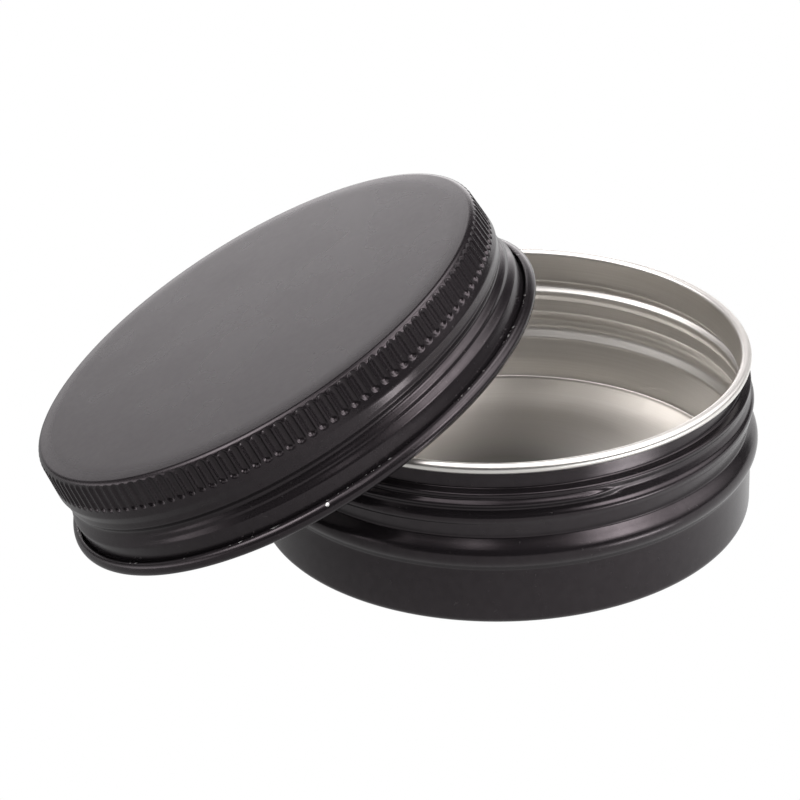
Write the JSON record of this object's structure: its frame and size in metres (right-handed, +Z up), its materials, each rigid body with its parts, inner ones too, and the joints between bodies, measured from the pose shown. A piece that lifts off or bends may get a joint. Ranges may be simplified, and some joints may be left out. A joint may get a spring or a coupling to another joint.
{
  "type": "candle tin",
  "caption": "Shallow round screw-top tin, black outside and bare metal inside, its fluted lid off and leaning on the rim.",
  "frame": {"origin": "centre of the can's base, on the surface it stands on", "axes": "+Z up the can's axis, out of its mouth; the lid leans on the can's -X side with its panel facing up and towards -X; -Y is the side the picture is taken from"},
  "size_m": [0.0956, 0.0704, 0.0422],
  "materials": {
    "can_metal": "satin black lacquer outside, bare brushed aluminium inside and over the rolled rim",
    "lid_metal": "matte black lacquer on both sides",
    "liner_foam": "white closed-cell foam"
  },
  "bodies": {
    "can": {"can": "can_metal"},
    "liner": {"liner": "liner_foam"},
    "lid": {"lid": "lid_metal"}
  },
  "joints": [
    {"name": "lid_swing", "type": "hinge", "parent": "can", "child": "liner", "pos_m": [0.0066, 0, -0.0349], "axis": [0, 1, 0], "range_deg": [0, 26.8]},
    {"name": "lid_turn", "type": "hinge", "parent": "liner", "child": "lid", "pos_m": [-0.0263, 0, 0.01559], "axis": [-0.4509, 0, 0.8926], "continuous": true}
  ]
}
